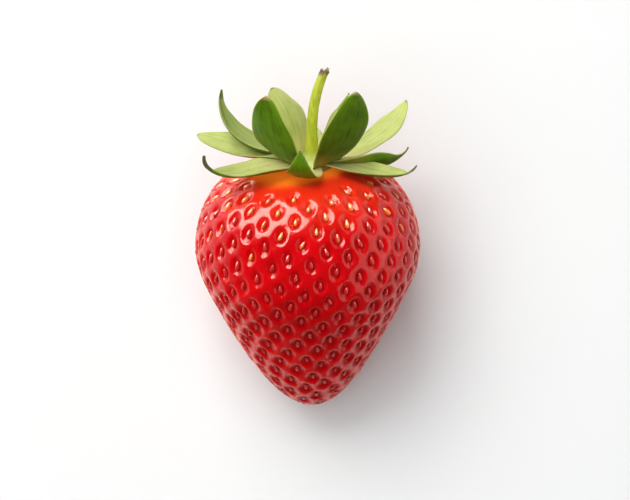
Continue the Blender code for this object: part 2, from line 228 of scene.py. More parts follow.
class Value:
    """A shader socket that Python arithmetic works on."""

    def __init__(self, paint, socket):
        self.paint = paint
        self.socket = socket

    def math(self, operation, *others):
        """A Math node on this value and others."""
        return self.paint.node("Math", {"operation": operation}, dict(enumerate((self, *others))))

    def __add__(self, other):
        return self.math("ADD", other)

    __radd__ = __add__

    def __mul__(self, other):
        return self.math("MULTIPLY", other)

    __rmul__ = __mul__

    def __sub__(self, other):
        return self.math("SUBTRACT", other)

    def __rsub__(self, other):
        return (self * -1.0) + other

    def between(self, low, high):
        """0 below low, 1 above high and a smooth step from one to the other."""
        return self.paint.node(
            "MapRange", {"interpolation_type": "SMOOTHSTEP"},
            {"Value": self, "From Min": low, "From Max": high})


class Graph:
    """A node tree that grows by calls."""

    def __init__(self, tree):
        self.tree = tree

    def plug(self, socket, value):
        """Links a value into a socket, or sets the socket to a constant."""
        if isinstance(value, Value):
            self.tree.links.new(value.socket, socket)
        else:
            socket.default_value = value

    def node(self, kind, settings=None, inputs=None, output=0):
        """A node of a kind, its settings first, then its sockets' values or links."""
        made = self.tree.nodes.new("ShaderNode" + kind)
        for name, value in (settings or {}).items():
            setattr(made, name, value)
        for name, value in (inputs or {}).items():
            self.plug(made.inputs[name], value)
        return Value(self, made.outputs[output])

    def attribute(self, name):
        """A number stored on the mesh's points."""
        return self.node("Attribute", {"attribute_name": name}, output="Fac")

    def noise(self, scale, detail=3.0, stretch=None):
        """Soft noise over the object's own space, scale in waves per millimetre."""
        place = self.node("TexCoord", output="Object")
        if stretch:
            place = self.node("VectorMath", {"operation": "MULTIPLY"}, {0: place, 1: stretch})
        return self.node("TexNoise", {}, {"Vector": place, "Scale": scale / MM, "Detail": detail})

    def mix(self, share, low, high):
        """The colour low where share is 0 and high where it is 1."""
        return self.node("Mix", {"data_type": "RGBA"},
                         {0: share, 6: self.colour(low), 7: self.colour(high)}, output=2)

    def colour(self, value):
        """A colour as a Mix node takes it: a link, or red, green and blue with an alpha."""
        return value if isinstance(value, Value) else (*value, 1.0)

    def bump(self, height, distance, strength=1.0):
        """A surface normal from a height between 0 and 1 that stands for distance in mm."""
        return self.node("Bump", {}, {"Height": height, "Distance": distance * MM,
                                      "Strength": strength})


class Paint(Graph):
    """One material: a Principled shader and the nodes that feed it."""

    def __init__(self, name, **constants):
        self.material = bpy.data.materials.new(name)
        self.material.use_nodes = True
        super().__init__(self.material.node_tree)
        self.shader = self.tree.nodes["Principled BSDF"]
        for socket, value in constants.items():
            self.shader.inputs[socket.replace("_", " ")].default_value = value

    def feed(self, **sockets):
        """Links what varies into the shader's own sockets."""
        for name, value in sockets.items():
            self.plug(self.shader.inputs[name.replace("_", " ")], value)
        return self.material


# ---------------------------------------------------------------- meshes

def make_piece(name, points, faces, paint, replaced, attributes):
    """An object from points in millimetres, with numbers on its points for its material."""
    mesh = bpy.data.meshes.new(name)
    mesh.from_pydata(points * MM, [], faces)
    mesh.materials.append(paint)
    for label, numbers in attributes.items():
        layer = mesh.attributes.new(label, "FLOAT", "POINT")
        layer.data.foreach_set("value", np.ascontiguousarray(numbers, dtype=np.float32).ravel())
    mesh.shade_smooth()
    made = bpy.data.objects.new(name, mesh)
    bpy.context.scene.collection.objects.link(made)
    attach(made, BODY)
    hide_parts(replaced)
    return made


def grid_faces(rows, columns, wrap=False):
    """Quads over a grid of rows by columns points, numbered row by row, closed round the
    columns where wrap is set."""
    across = columns if wrap else columns - 1
    i, j = np.meshgrid(np.arange(rows - 1), np.arange(across), indexing="ij")
    k = (j + 1) % columns
    faces = np.stack([i * columns + j, i * columns + k, (i + 1) * columns + k,
                      (i + 1) * columns + j], axis=-1)
    return faces.reshape(-1, 4)


def fan_faces(ring, pole, turned=False):
    """Triangles from a ring of point numbers to one pole."""
    following = np.roll(ring, -1)
    pair = (following, ring) if turned else (ring, following)
    return np.stack([*pair, np.full(len(ring), pole)], axis=-1)


# ---------------------------------------------------------------- the fruit's form

def outline():
    """The half outline: a uniform cubic B-spline mirrored at both ends, as arc length,
    distance along the axis and radius."""
    points = np.array(OUTLINE)
    flip = np.array((1.0, -1.0))
    points = np.vstack([points[1] * flip, points, points[-2] * flip])
    u = np.linspace(0.0, 1.0, OUTLINE_STEPS, endpoint=False)[:, None]
    weights = (
        (1 - u) ** 3 / 6,
        (3 * u ** 3 - 6 * u ** 2 + 4) / 6,
        (-3 * u ** 3 + 3 * u ** 2 + 3 * u + 1) / 6,
        u ** 3 / 6,
    )
    spans = [sum(w * points[i + j] for j, w in enumerate(weights)) for i in range(len(points) - 3)]
    end = (points[-3] + 4 * points[-2] + points[-1]) / 6
    curve = np.vstack(spans + [end])
    curve[0, 1] = 0.0
    curve[-1, 1] = 0.0
    steps = np.hypot(*np.diff(curve, axis=0).T)
    arc = np.concatenate([[0.0], np.cumsum(steps)])
    return arc, curve[:, 0], curve[:, 1]


ARC, ALONG, RADIUS = outline()
ALONG_SLOPE = np.gradient(ALONG, ARC)
RADIUS_SLOPE = np.gradient(RADIUS, ARC)
LENGTH = ALONG[-1]
WIDEST = int(np.argmax(RADIUS))
MIDDLE = 0.5 * LENGTH          # the fruit is seen whole from this place on its axis
VIEW_ANGLE = np.unwrap(np.arctan2(RADIUS, MIDDLE - ALONG))
DROP = RADIUS * math.cos(AXIS_TILT) - ALONG * math.sin(AXIS_TILT)
LOWEST = int(np.argmax(DROP))
TIP = np.array((0.0,
                -(ALONG[LOWEST] * math.cos(AXIS_TILT) + RADIUS[LOWEST] * math.sin(AXIS_TILT)),
                DROP[LOWEST] - FLAT_DEPTH))


def world(axis_points):
    """World places of points given as (along the axis, to the right, up from it)."""
    along, side, up = np.moveaxis(axis_points, -1, 0)
    lean = TIP_LEAN * np.clip(1.0 - along / LEAN_END, 0.0, 1.0) ** 2
    return (TIP + along[..., None] * AXIS + (side + lean)[..., None] * SIDE + up[..., None] * UP)


def on_skin(arc, turn):
    """Smooth skin point, tangent towards the stem, tangent round the fruit and normal."""
    along = np.interp(arc, ARC, ALONG)
    radius = np.interp(arc, ARC, RADIUS)
    slope_a = np.interp(arc, ARC, ALONG_SLOPE)
    slope_r = np.interp(arc, ARC, RADIUS_SLOPE)
    size = np.hypot(slope_a, slope_r)
    slope_a, slope_r = slope_a / size, slope_r / size
    sine, cosine = np.sin(turn), np.cos(turn)
    point = np.stack([along, radius * sine, radius * cosine], axis=-1)
    stemward = np.stack([slope_a, slope_r * sine, slope_r * cosine], axis=-1)
    roundward = np.stack([np.zeros_like(along), cosine, -sine], axis=-1)
    normal = np.stack([-slope_r, slope_a * sine, slope_a * cosine], axis=-1)
    return point, stemward, roundward, normal


def under_point(axis_points):
    """Arc length and turn of the skin in line with points, as seen from the fruit's middle."""
    along, side, up = np.moveaxis(axis_points, -1, 0)
    angle = np.arctan2(np.hypot(side, up), MIDDLE - along)
    return np.interp(angle, VIEW_ANGLE, ARC), np.arctan2(side, up)


def seed_sites():
    """Arc length, turn and pit size of every achene: a golden angle from each to the next,
    and the same area of skin for all, with a little scatter."""
    ring = 2 * math.pi * (RADIUS[1:] + RADIUS[:-1]) / 2 * np.diff(ARC)
    area = np.concatenate([[0.0], np.cumsum(ring)])
    last = np.interp(-LAST_SEED_RADIUS, -RADIUS[WIDEST:], ARC[WIDEST:])
    first_area = np.interp(FIRST_SEED, ARC, area)
    count = int((np.interp(last, ARC, area) - first_area) / SEED_AREA)
    order = np.arange(count)
    arc = np.interp(first_area + (order + 0.5) * SEED_AREA, area, ARC)
    draw = np.random.default_rng(SEED_SEED)
    arc = arc + draw.uniform(-SEED_SCATTER, SEED_SCATTER, count)
    radius = np.interp(arc, ARC, RADIUS)
    turn = order * GOLDEN_TURN + draw.uniform(-SEED_SCATTER, SEED_SCATTER, count) / radius
    size = draw.uniform(*PIT_SIZES, count)
    return arc, turn, size


def smooth_step(x, low, high):
    """0 below low, 1 above high, and 3 t^2 - 2 t^3 between them."""
    t = np.clip((x - low) / (high - low), 0.0, 1.0)
    return t * t * (3 - 2 * t)


SEED_ARC, SEED_TURN, SEED_SIZE = seed_sites()
SEED_LOW = 1.0 - smooth_step(SEED_ARC, *TIP_ZONE)
PIT_LONG = PIT_ALONG * SEED_SIZE * (1.0 + TIP_SPREAD[0] * SEED_LOW)
PIT_WIDE = PIT_ACROSS * SEED_SIZE * (1.0 + TIP_SPREAD[1] * SEED_LOW)


def pit_distance(axis_points):
    """For each point the distance from its nearest seed, as a share of that pit's rim, which
    seed that is, and how far it lies straight above it: 1 right above, 0 beside or below."""
    place, stemward, roundward, _ = on_skin(SEED_ARC, SEED_TURN)
    share = np.empty(len(axis_points))
    nearest = np.empty(len(axis_points), dtype=int)
    above = np.empty(len(axis_points))
    for block in np.array_split(np.arange(len(axis_points)), SEARCH_BLOCKS):
        points = axis_points[block]
        squared = (points ** 2).sum(1)[:, None] - 2 * points @ place.T + (place ** 2).sum(1)
        near = np.argmin(squared, axis=1)
        away = points - place[near]
        u = (away * stemward[near]).sum(1) / PIT_LONG[near]
        v = (away * roundward[near]).sum(1) / PIT_WIDE[near]
        share[block] = np.hypot(u, v)
        nearest[block] = near
        above[block] = np.clip(u / np.maximum(share[block], 1e-9), 0.0, 1.0)
    return share, nearest, above


def relief(share, above, arc):
    """Height over the smooth skin from the distance to the nearest seed: a bowl that deepens as
    1 - (share / edge)^steepness, steeper towards the calyx, a low cushion of flesh that
    levels out between the pits, and near the tip a brow over the upper rim of each pit."""
    steepness = PIT_STEEPNESS[0] + np.ptp(PIT_STEEPNESS) * smooth_step(arc, *TIP_ZONE)
    pit = 1.0 - np.clip(share / PIT_EDGE, 0.0, 1.0) ** steepness
    cushion = smooth_step(share, *CUSHION_RISE)
    brow = smooth_step(share, *BROW_RISE) * (1.0 - smooth_step(share, *BROW_FALL))
    brow = brow * np.sqrt(above) * (1.0 - smooth_step(arc, *TIP_ZONE))
    return CUSHION * cushion + BROW * brow - PIT_DEPTH * pit, pit, brow


# ---------------------------------------------------------------- the fruit's pieces

def skin_points():
    """Arc length and turn of the skin's points: rings round every seed, kept where that seed
    is the nearest, then plain rings over the tip and the crown, with the crown's pole last.
    Also the number of points in the crown's last ring."""
    place, stemward, roundward, _ = on_skin(SEED_ARC, SEED_TURN)
    rings = np.array(PIT_RINGS)
    angle = 2 * math.pi * (np.arange(PIT_POINTS) + 0.5 * (np.arange(len(rings)) % 2)[:, None])
    angle = angle / PIT_POINTS
    u = (rings[:, None] * np.cos(angle)).ravel() * PIT_LONG[:, None]
    v = (rings[:, None] * np.sin(angle)).ravel() * PIT_WIDE[:, None]
    away = u[..., None] * stemward[:, None] + v[..., None] * roundward[:, None]
    around = place[:, None] + away
    arc, turn = under_point(around.reshape(-1, 3))
    _, nearest, _ = pit_distance(on_skin(arc, turn)[0])
    owner = np.repeat(np.arange(len(place)), u.shape[1])
    kept = (nearest == owner) & (arc > TIP_CLEAR)
    arc, turn = arc[kept], turn[kept]
    arc = np.concatenate([SEED_ARC, arc])
    turn = np.concatenate([SEED_TURN, turn])
    last = SEED_ARC.max()
    rings = int((ARC[-1] - last - CROWN_END) / CROWN_STEP)
    crown = [last + CROWN_START + CROWN_STEP * k for k in range(rings)]
    for ring_arc in [TIP_RING] + crown:
        round_length = 2 * math.pi * np.interp(ring_arc, ARC, RADIUS)
        count = max(CROWN_LEAST, int(round_length / CROWN_SPACING))
        arc = np.concatenate([arc, np.full(count, ring_arc)])
        turn = np.concatenate([turn, 2 * math.pi * np.arange(count) / count])
    return np.append(arc, ARC[-1]), np.append(turn, 0.0), count


def skin_faces(arc, turn, ring):
    """Triangles over the skin's points, laid out flat with all angles kept: the radius there
    is the exponential of the arc length over the fruit's radius, summed from the tip."""
    inner = slice(1, -1)
    radius = (RADIUS[inner][1:] + RADIUS[inner][:-1]) / 2
    stretch = np.concatenate([[0.0], np.cumsum(np.diff(ARC[inner]) / radius)])
    depth = np.interp(arc[:-1], ARC[inner], stretch)
    spread = np.exp(depth - depth.max())
    flat = np.stack([spread * np.cos(turn[:-1]), spread * np.sin(turn[:-1])], axis=-1)
    result = delaunay_2d_cdt([Vector(p) for p in flat], [], [], 0, 1e-9, True)
    source = np.array([ids[0] for ids in result[3]])
    triangles = source[np.array(result[2])]
    pole = len(arc) - 1
    last_ring = np.arange(pole - ring, pole)
    return np.vstack([triangles, fan_faces(last_ring, pole)])


def skin():
    """The fruit's red skin with its pits, pressed flat where it lies."""
    arc, turn, ring = skin_points()
    faces = skin_faces(arc, turn, ring)
    point, _, _, normal = on_skin(arc, turn)
    share, _, above = pit_distance(point)
    height, pit, brow = relief(share, above, arc)
    places = world(point + height[:, None] * normal)
    corners = places[faces]
    flat_normal = np.cross(corners[:, 1] - corners[:, 0], corners[:, 2] - corners[:, 0])
    outward = (flat_normal * (corners.mean(1) - world(np.array((MIDDLE, 0.0, 0.0))))).sum(1)
    faces = np.where((outward > 0)[:, None], faces, faces[:, ::-1])
    places[:, 2] = np.maximum(places[:, 2], 0.0)
    return make_piece("skin", places, faces, flesh_paint(), "fruit",
                      {"pit": pit, "arc": arc, "brow": brow})


def achenes():
    """All achenes: each a lens with a pointed end towards the stem and a keel along its back,
    given by t from one end to the other and an angle round it."""
    draw = np.random.default_rng(SEED_SEED + 1)
    count = len(SEED_ARC)
    place, stemward, roundward, normal = on_skin(SEED_ARC, SEED_TURN)
    t = np.linspace(0.0, math.pi, SEED_ROWS)[1:-1]
    angle = 2 * math.pi * np.arange(SEED_SIDES) / SEED_SIDES
    width = np.sin(t) ** SEED_BLUNTNESS * (1.0 + SEED_EGG * np.cos(t))
    half_w, half_l, half_h = SEED_HALF
    lengthwise = np.repeat(-half_l * np.cos(t), SEED_SIDES)
    sideways = half_w * np.outer(width, np.sin(angle)).ravel()
    keel = 1.0 + SEED_KEEL * np.cos(angle) ** KEEL_SHARPNESS
    upwards = half_h * np.outer(width, np.cos(angle) * keel).ravel()
    reach, beak_height = SEED_BEAK
    lengthwise = np.concatenate([lengthwise, [-half_l, half_l * reach]])
    sideways = np.append(sideways, (0.0, 0.0))
    upwards = np.append(upwards, (0.0, beak_height))
    spin = draw.normal(0.0, SEED_SPIN, count)
    nod = draw.normal(*SEED_NOD, count)
    size = SEED_SIZE * draw.uniform(*SEED_SIZES, count)
    size = size * (TIP_SEED + (1.0 - TIP_SEED) * smooth_step(SEED_ARC, *TIP_ZONE))
    a = np.outer(size, lengthwise)
    b = np.outer(size, sideways)
    c = np.outer(size, upwards) + a * nod[:, None]
    a, b = (a * np.cos(spin)[:, None] - b * np.sin(spin)[:, None],
            a * np.sin(spin)[:, None] + b * np.cos(spin)[:, None])
    c = c - SEED_SUNK
    points = (place[:, None] + a[..., None] * stemward[:, None] + b[..., None] * roundward[:, None]
              + c[..., None] * normal[:, None])
    each = points.shape[1]
    rows = len(t)
    side = grid_faces(rows, SEED_SIDES, wrap=True)
    triangles = np.vstack([side[:, (0, 1, 2)], side[:, (0, 2, 3)],
                           fan_faces(np.arange(SEED_SIDES), each - 2, turned=True),
                           fan_faces(np.arange(SEED_SIDES) + (rows - 1) * SEED_SIDES, each - 1)])
    faces = (triangles + each * np.arange(count)[:, None, None]).reshape(-1, 3)
    places = world(points.reshape(-1, 3))
    places[:, 2] = np.maximum(places[:, 2], 0.0)
    tone = np.interp(SEED_ARC, ARC, ALONG) / LENGTH + draw.normal(0, TONE_SCATTER, count)
    tone = np.clip(tone - RED_SHIFT * smooth_step(world(place)[:, 0], *RED_SIDE), 0, 1)
    ridge = np.append(np.tile(np.abs(np.sin(angle)), rows), (1.0, 1.0))
    return make_piece("achenes", places, faces, achene_paint(), "fruit",
                      {"tone": np.repeat(tone, each), "ridge": np.tile(ridge, count)})


# ---------------------------------------------------------------- calyx

def sepal_width(t, point):
    """Half width along a sepal, as a share of its widest: a lance shape,
    (t + start)^swell (1 - t)^point."""
    start, swell = SEPAL_LANCE
    widest = (swell - start * point) / (swell + point)
    peak = (widest + start) ** swell * (1.0 - widest) ** point
    return (t + start) ** swell * (1.0 - t) ** point / peak


def sepal_grid(row, base, wave, pinch, fold):
    """Mid surface of a sepal: its midrib rises from one angle to another along its length,
    and lines across it roll, dish, fold and flutter at the margins. Also the surface's normal,
    the shares along and across of the grid's lines, and the half width along it."""
    turn, length, width, rise_root, rise_tip, swing, roll, cup, bend, point = row
    turn, rise_root, rise_tip, swing, roll = np.radians((turn, rise_root, rise_tip, swing, roll))
    t = 1.0 - (1.0 - np.linspace(0.0, 1.0, SEPAL_ROWS + 1)) ** SEPAL_CROWDING
    across = np.sin(np.linspace(-0.5, 0.5, SEPAL_COLUMNS + 1) * math.pi)
    rise = rise_root + (rise_tip - rise_root) * t ** bend
    heading = turn + swing * t ** 2
    outwards = np.outer(np.cos(heading), UP) + np.outer(np.sin(heading), SIDE)
    along = np.cos(rise)[:, None] * outwards + np.outer(np.sin(rise), AXIS)
    sideways = np.outer(-np.sin(heading), UP) + np.outer(np.cos(heading), SIDE)
    face = np.cross(along, sideways)
    turned = np.cos(roll * t)[:, None] * sideways + np.sin(roll * t)[:, None] * face
    face = np.cos(roll * t)[:, None] * face - np.sin(roll * t)[:, None] * sideways
    start = base + SEPAL_ROOT * outwards[0]
    steps = (along[1:] + along[:-1]) / 2 * (np.diff(t) * length)[:, None]
    midrib = start + np.vstack([np.zeros(3), np.cumsum(steps, axis=0)])
    half = width / 2 * sepal_width(t, point) * (1.0 - pinch * smooth_step(t, *HOOK_FROM))
    half = np.maximum(half, SEPAL_BLUNT)
    spread = half[:, None] * across * math.cos(math.atan(abs(cup)))
    wave_height, wave_count, wave_start = wave
    turns = wave_count * t[:, None] + wave_start * np.sign(across)
    flutter = wave_height * np.sin(2 * math.pi * turns)
    trough = half[:, None] * (cup * across ** 2 + fold * np.abs(across))
    trough = trough + flutter * np.abs(across) ** 3 * t[:, None]
    away = spread[..., None] * turned[:, None] + trough[..., None] * face[:, None]
    grid = midrib[:, None] + away
    normal = np.cross(np.gradient(grid, axis=0), np.gradient(grid, axis=1))
    normal /= np.maximum(np.linalg.norm(normal, axis=-1, keepdims=True), 1e-9)
    return grid, normal, t, across, half


def sepal(index, row, base, paint):
    """A sepal: its two faces lie a tapering thickness apart, with a midrib that is a groove on
    the fruit's side and a ridge on the stem's side, and fainter veins beside it."""
    draw = np.random.default_rng(SEPAL_SEED + index)
    wave = (draw.uniform(*WAVE_HEIGHT), draw.uniform(*WAVE_COUNT), draw.uniform(0.0, 1.0))
    look = SEPAL_LOOK.get(index, PLAIN_LOOK)
    grid, normal, t, across, half = sepal_grid(row, base, wave, HOOKS.get(index, 0.0),
                                               FOLD.get(index, 0.0))
    rows, columns = grid.shape[:2]
    offset = half[:, None] * across
    to_tip = (1.0 - t)[:, None]
    edge = np.sqrt(np.clip(1.0 - across ** 2, 0.0, 1.0))
    thick = (BLADE_THICK[0] + BLADE_THICK[1] * to_tip) * edge + MARGIN_THICK
    midrib = np.exp(-(offset / MIDRIB_HALF) ** 2) * to_tip ** 0.6
    vein_path = np.abs(across) - VEIN_SLANT * t[:, None]
    side_vein = 0.5 + 0.5 * np.cos(2 * math.pi * VEIN_COUNT * vein_path)
    side_vein = side_vein ** 3 * edge * np.minimum(1.0, np.abs(offset) / VEIN_CLEAR)
    ridge = MIDRIB_RELIEF[0] * midrib + VEIN_RELIEF[0] * side_vein
    groove = MIDRIB_RELIEF[1] * midrib + VEIN_RELIEF[1] * side_vein
    stem_side = grid + normal * (thick + ridge)[..., None]
    fruit_side = grid - normal * (thick - groove)[..., None]
    points = np.concatenate([stem_side.reshape(-1, 3), fruit_side.reshape(-1, 3)])
    count = rows * columns
    top = grid_faces(rows, columns)
    under = top[:, ::-1] + count
    rim = np.concatenate([np.arange(rows) * columns,
                          (rows - 1) * columns + np.arange(1, columns),
                          np.arange(rows - 2, -1, -1) * columns + columns - 1,
                          np.arange(columns - 2, 0, -1)])
    following = np.roll(rim, -1)
    edge_faces = np.stack([rim, following, following + count, rim + count], axis=-1)
    faces = np.vstack([top, under, edge_faces])[:, ::-1]
    numbers = {"along": t[:, None], "across": across, "lot": float(index),
               "vein": np.maximum(midrib, VEIN_TONE * side_vein)}
    numbers.update(zip(("foot", "tip", "pink", "painted_half_shade"), look))
    attributes = {name: np.tile(np.broadcast_to(value, (rows, columns)).ravel(), 2)
                  for name, value in numbers.items()}
    attributes["dark"] = np.repeat((0.0, 1.0), count)
    return make_piece(f"sepal_{index}", points, faces, paint, "calyx", attributes)


def turned_faces(rows, sides):
    """Faces of a closed turned body: rows of points round it, then one pole at each end."""
    last_ring = np.arange(sides) + (rows - 1) * sides
    faces = grid_faces(rows, sides, wrap=True).tolist()
    faces += fan_faces(np.arange(sides), rows * sides, turned=True).tolist()
    faces += fan_faces(last_ring, rows * sides + 1).tolist()
    return faces


def calyx_disc(paint):
    """The low round disc under the sepals: a lobed dome whose radius is a power of a cosine
    and whose height is a power of a sine, closed underneath by two rings and a pole."""
    lift = np.linspace(0.0, 1.0, DISC_ROWS)
    draw_in, rise = DISC_ROUNDING
    radius = (DISC_RADIUS - DISC_INSET) * np.cos(lift * math.pi / 2) ** draw_in
    height = LENGTH + DISC_FOOT + DISC_HEIGHT * np.sin(lift * math.pi / 2) ** rise
    hollow_radius, dip = np.array(DISC_HOLLOW).T
    radius = np.concatenate([hollow_radius, radius[:-1]])
    height = np.concatenate([height[0] - dip, height[:-1]])
    angle = 2 * math.pi * np.arange(DISC_SIDES) / DISC_SIDES
    lobes = 1.0 + DISC_LOBES[1] * np.sin(DISC_LOBES[0] * angle)
    rings = np.stack([np.repeat(height, DISC_SIDES),
                      CALYX_SHIFT + np.outer(radius, np.sin(angle) * lobes).ravel(),
                      np.outer(radius, np.cos(angle) * lobes).ravel()], axis=-1)
    poles = np.array([(height[0], CALYX_SHIFT, 0.0), (height[-1] + 0.02, CALYX_SHIFT, 0.0)])
    points = world(np.vstack([rings, poles]))
    rows = len(height)
    tone = np.concatenate([np.repeat(np.linspace(0, 1, rows), DISC_SIDES), [0.0, 1.0]])
    return make_piece("calyx_disc", points, turned_faces(rows, DISC_SIDES), paint,
                      "calyx", {"lift": tone})


# ---------------------------------------------------------------- stem

def stem(paint):
    """The stem: rings along its bent line, with fine ribs, a flared foot and a dry cut end that
    narrows, dips in the middle and stands ragged at its rim."""
    t = np.linspace(0.0, 1.0, STEM_ROWS) ** STEM_CROWDING
    angle = 2 * math.pi * np.arange(STEM_SIDES) / STEM_SIDES
    height = LENGTH + GAP + DISC_HEIGHT + (STEM_LENGTH + GAP) * t
    side = CALYX_SHIFT + STEM_LEAN[0] * t + STEM_LEAN[1] * t ** 3
    back = -STEM_BACK * t ** 2
    taper = STEM_RADIUS + (STEM_TOP - STEM_RADIUS) * t
    radius = taper + (STEM_FOOT - STEM_RADIUS) * np.exp(-t * STEM_LENGTH / FLARE_LENGTH)
    radius = radius * (1.0 + STEM_SWELL * np.sin(9.0 * t + 1.0))
    radius = radius - PINCH_DEPTH * smooth_step(t, *STEM_PINCH)
    dry = smooth_step(t, *STEM_DRY)[:, None]
    coarse, fine = RIB_HEIGHTS
    ribs = coarse * np.cos(5 * angle + 1.5 * t[:, None]) + fine * np.cos(13 * angle)
    coarse, fine = CREASE_DEPTHS
    creases = coarse * np.cos(7 * angle + 0.6) + fine * np.cos(11 * angle)
    coarse, fine = RAGGED
    ragged = coarse * np.sin(3 * angle + 0.5) + fine * np.sin(8 * angle)
    wide = radius[:, None] + ribs - dry * creases
    tall = height[:, None] + dry * ragged
    cut_share, cut_depth = np.array(CUT_RINGS).T[..., None]
    wide = np.vstack([wide, cut_share * wide[-1]])
    tall = np.vstack([tall, np.broadcast_to(height[-1] - cut_depth, (2, STEM_SIDES))])
    side = np.append(side, (side[-1], side[-1]))[:, None]
    back = np.append(back, (back[-1], back[-1]))[:, None]
    rings = np.stack([tall, side + wide * np.sin(angle), back + wide * np.cos(angle)], axis=-1)
    poles = np.array([(height[0], CALYX_SHIFT, 0.0),
                      (height[-1] - CUT_DEPTH, side[-1, 0], back[-1, 0])])
    points = world(np.vstack([rings.reshape(-1, 3), poles]))
    along = np.concatenate([np.repeat(np.append(t, (1.02, 1.03)), STEM_SIDES), [0.0, 1.03]])
    return make_piece("stem_stalk", points, turned_faces(STEM_ROWS + 2, STEM_SIDES), paint,
                      "stem", {"along": along})


# ---------------------------------------------------------------- materials

SHOULDER_ZONE = (43.0, 52.0)   # arc lengths between which the red turns lighter
UNRIPE_ZONE = (52.0, 58.0)     # and between which it turns to the orange ring
UNRIPE_WAVES = 7.0             # how far that edge wanders
UNRIPE_SLANT = 0.18            # and how much lower it lies for each millimetre to the left


def flesh_paint():
    """Glossy red flesh: painted shade, a deeper red, in the pits and most in those near the tip,
    a painted highlight, a lighter red, on the brows over the tip's pits, and orange in the
    unripe ring under the calyx, with a painted glow there for light that comes through it."""
    paint = Paint("strawberry_flesh", Subsurface_Weight=0.75, Subsurface_Scale=2.0 * MM,
                  Subsurface_Radius=(1.0, 0.2, 0.1), Coat_Roughness=0.10, Coat_IOR=1.5,
                  IOR=1.45, Specular_IOR_Level=0.06, Emission_Strength=0.4,
                  Sheen_Weight=1.0, Sheen_Roughness=0.30, Sheen_Tint=(1.0, 0.24, 0.12, 1.0))
    ripe, riper, fleck = (0.67, 0.003, 0.006), (0.53, 0.001, 0.004), (0.85, 0.006, 0.006)
    shoulder = (0.88, 0.035, 0.006)
    # the two pit colours are painted shade
    pit_painted_shade, tip_pit_painted_shade = (0.30, 0.001, 0.002), (0.36, 0.001, 0.003)
    # the brow colour is a painted highlight
    brow_painted_highlight, ring_edge = (0.86, 0.045, 0.035), (0.95, 0.05, 0.008)
    # the second colour is a painted glow for the unripe ring
    ring_orange, ring_painted_glow = (1.0, 0.26, 0.015), (1.0, 0.20, 0.008)
    pit = paint.attribute("pit")
    arc = paint.attribute("arc")
    patches = paint.noise(0.09, 2.0)
    fine = paint.noise(1.4, 4.0)
    red = paint.mix(patches.between(0.35, 0.7), riper, ripe)
    red = paint.mix(fine.between(0.45, 0.75) * 0.2, red, fleck)
    red = paint.mix(arc.between(*SHOULDER_ZONE) * 0.7, red, shoulder)
    low = 1.0 - arc.between(*TIP_ZONE)
    # painted shade: a deeper red in the pits, and more in the tip's pits
    red = paint.mix(pit.between(0.3, 0.95) * (0.22 - low * 0.07), red, pit_painted_shade)
    red = paint.mix(pit.between(0.0, 0.4) * low * 0.5, red, tip_pit_painted_shade)
    # painted highlight: a lighter red on the brows over the tip's pits
    red = paint.mix(paint.attribute("brow") * 0.85, red, brow_painted_highlight)
    place = paint.node("TexCoord", output="Object")
    right = paint.node("SeparateXYZ", {}, {"Vector": place}, output="X") * (1.0 / MM)
    unripe = arc + (patches - 0.5) * UNRIPE_WAVES - right * UNRIPE_SLANT
    unripe = unripe.between(*UNRIPE_ZONE)
    ring = paint.mix(unripe, ring_edge, ring_orange)
    colour = paint.mix(unripe.between(0.0, 0.5), red, ring)
    # painted glow: emission in the unripe ring stands in for light that comes through the flesh
    glow = paint.mix(unripe.between(0.1, 0.9), (0.0, 0.0, 0.0), ring_painted_glow)
    height = fine * 0.6 + paint.noise(4.0, 2.0) * 0.4
    return paint.feed(Base_Color=colour, Roughness=0.20 + pit * 0.15 + (fine - 0.5) * 0.08,
                      Coat_Weight=0.48 - pit * (0.15 + low * 0.15), Emission_Color=glow,
                      Normal=paint.bump(height, 0.02, 0.35))


def achene_paint():
    """Achenes from red near the tip to golden near the calyx, with a lighter keel."""
    paint = Paint("strawberry_achene", Subsurface_Weight=0.2, Subsurface_Scale=0.3 * MM,
                  Coat_Roughness=0.08, Coat_Weight=1.0)
    tone = paint.attribute("tone")
    ridge = paint.attribute("ridge")
    body_red, body_gold = (0.46, 0.001, 0.003), (0.86, 0.15, 0.012)
    keel_red, keel_gold = (0.60, 0.005, 0.006), (0.95, 0.34, 0.035)
    body = paint.mix(tone.between(0.78, 0.93), body_red, body_gold)
    keel = paint.mix(tone.between(0.76, 0.91), keel_red, keel_gold)
    colour = paint.mix(ridge.between(0.2, 0.75), keel, body)
    grain = paint.noise(5.0, 3.0)
    return paint.feed(Base_Color=paint.mix(grain * 0.25, colour, (0.45, 0.02, 0.01)),
                      Roughness=0.28 + grain * 0.2, Normal=paint.bump(grain, 0.02, 0.4))


